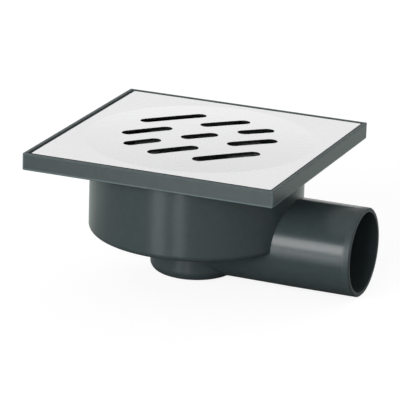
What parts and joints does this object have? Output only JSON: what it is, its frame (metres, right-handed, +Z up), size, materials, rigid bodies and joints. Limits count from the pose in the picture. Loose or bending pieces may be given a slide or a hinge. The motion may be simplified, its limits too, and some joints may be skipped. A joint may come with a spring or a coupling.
{
  "type": "gully trap",
  "caption": "Low floor gully with a horizontal outlet: a square frame and slotted grate over a round trap pot with a lift-out water seal bell.",
  "frame": {"origin": "middle of the flat underside of the round boss below the standpipe, which the gully stands on", "axes": "+X along the outlet, away from the pot; +Z up, towards the grate"},
  "size_m": [0.174, 0.147, 0.0783],
  "materials": {
    "body_plastic": "satin moulded plastic",
    "bell_plastic": "satin moulded plastic",
    "grate_steel": "fine satin stainless steel"
  },
  "bodies": {
    "root": {"gully_body": "body_plastic", "seal_bell": "bell_plastic", "grate": "grate_steel"}
  },
  "joints": []
}
